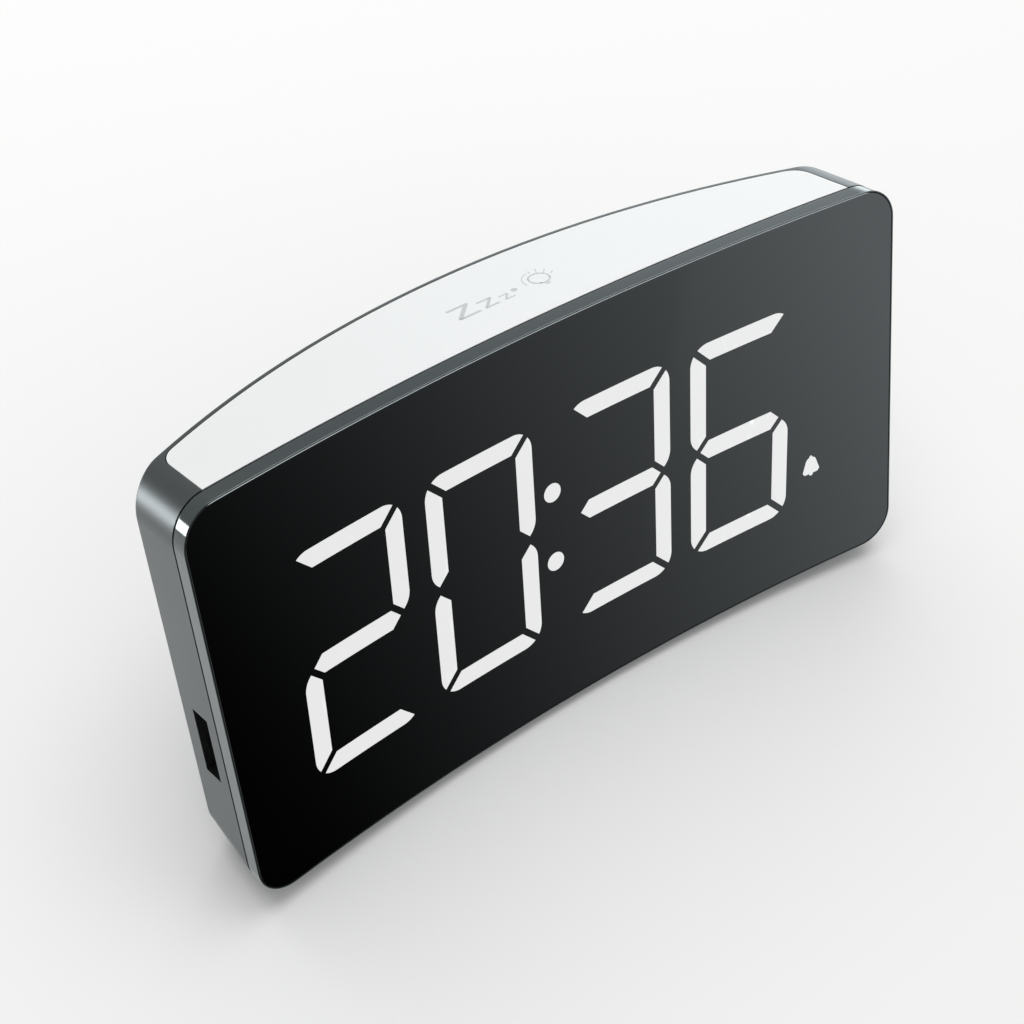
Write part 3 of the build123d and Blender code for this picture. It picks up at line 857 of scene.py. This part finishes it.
def sheet(name, rim, height, finish):
    mesh = bpy.data.meshes.new(name)
    mesh.from_pydata([(x, y, height) for x, y in rim], [], [tuple(range(len(rim)))])
    mesh.materials.append(finish.material)
    return added(name, mesh)


def makeWorld():
    world = bpy.data.worlds.new("studio")
    bpy.context.scene.world = world
    world.use_nodes = True
    background = world.node_tree.nodes["Background"]
    background.inputs["Color"].default_value = (1, 1, 1, 1)
    background.inputs["Strength"].default_value = studio["worldStrength"]


def softbox(name, place, size, power):
    data = bpy.data.lights.new(name, "AREA")
    data.shape = "RECTANGLE"
    data.size = size
    data.size_y = size
    data.energy = power
    lamp = added(name, data)
    lamp.location = place
    lamp.rotation_mode = "QUATERNION"
    lamp.rotation_quaternion = (-Vector(place)).to_track_quat("-Z", "Y")


# A card that shows only in reflections, upright along its own y. Its brightness comes from a function of
# its own x and y.
def card(name, place, away, size, brightness):
    halfX = size[0] / 2
    halfY = size[1] / 2
    finish = Finish(name)
    made = sheet(name, [(-halfX, -halfY), (halfX, -halfY), (halfX, halfY), (-halfX, halfY)], 0, finish)
    depth = Vector(away).normalized()
    across = Vector((-depth.y, depth.x, 0)).normalized()
    turn = Matrix((across, depth.cross(across), -depth)).transposed().to_4x4()
    made.matrix_world = Matrix.Translation(place) @ turn
    alongX = finish.node("ShaderNodeSeparateXYZ", None, {0: finish.place()})
    alongY = Wire(finish, alongX.socket.node.outputs[1])
    strength = brightness(finish, alongX, alongY)
    light = finish.node("ShaderNodeEmission", None, {"Color": studio["cardTint"], "Strength": strength})
    finish.tree.links.new(light.socket, finish.end.inputs["Surface"])
    onlyReflected(made)


def onlyReflected(made):
    for ray in ("camera", "diffuse", "transmission", "volume_scatter", "shadow"):
        setattr(made, "visible_" + ray, False)


lensCard = {
    "place": (0.06403, -0.11946, 0.00720),
    "away": (0.49255, -0.83598, -0.24193),
    "size": (0.26, 0.26),
    "darkEdge": -0.075,
    "span": 0.135,
    "brightest": 1.6,
    "upwardGain": 2.2,
    "lineAt": 0.0127,
    "lineSlope": 0.4,
    "lineSoft": 0.0006,
    "lineFades": (-0.03, 0.05),
    "lineStep": 0.12,
}
stripCard = {
    "place": (-0.2265, 0.1973, 0.0345),
    "away": (-0.60259, 0.78510, -0.14320),
    "size": (0.12, 0.066),
    "brightness": 19.0,
    "fade": 0.02,
}
chamferCard = {
    "place": (0.315, -0.082, 0.578),
    "away": (0.525, -0.146, 0.838),
    "size": (0.7, 0.5),
    "brightness": 13.0,
    "fade": 0.3,
}
rightCard = {
    "place": (0.33, 0.24, 0.035),
    "away": (0.70, 0.71, -0.02),
    "size": (0.70, 0.24),
    "brightness": 3.6,
    "fade": 0.45,
    "under": studio["worldStrength"],
}


# Dark at the left, and a shade lighter past a slanted edge near the right
def lensCardBrightness(finish, across, upward):
    reach = (across - lensCard["darkEdge"]) * (1 / lensCard["span"])
    share = finish.node("ShaderNodeClamp", None, {0: reach})
    along = share ** 2.0 * lensCard["brightest"]
    line = across - upward * lensCard["lineSlope"] - lensCard["lineAt"]
    soft = lensCard["lineSoft"]
    step = finish.soften(line, -soft, soft) * finish.soften(upward, *lensCard["lineFades"])
    return along * (1.0 + upward * lensCard["upwardGain"]) + step * lensCard["lineStep"]


# Even in the middle, fading to the level under it over a share of the card's size
def softEdged(level, size, fade, under):
    def brightness(finish, across, upward):
        strength = level
        for along, length in ((across, size[0]), (upward, size[1])):
            distance = finish.node("ShaderNodeMath", {"operation": "ABSOLUTE"}, {0: along})
            strength = strength * finish.soften(distance, length * (0.5 - fade), length * 0.5, 1.0, 0.0)
        return strength + under
    return brightness


makeFloor()
makeWorld()
softbox("topSoftbox", studio["topPlace"], studio["topSize"], studio["topPower"])
card("lensCard", lensCard["place"], lensCard["away"], lensCard["size"], lensCardBrightness)
for name, values in (("stripCard", stripCard), ("chamferCard", chamferCard), ("rightCard", rightCard)):
    card(name, values["place"], values["away"], values["size"],
         softEdged(values["brightness"], values["size"], values["fade"], values.get("under", 0)))
bpy.context.scene.view_settings.view_transform = "Standard"
print("studio made")
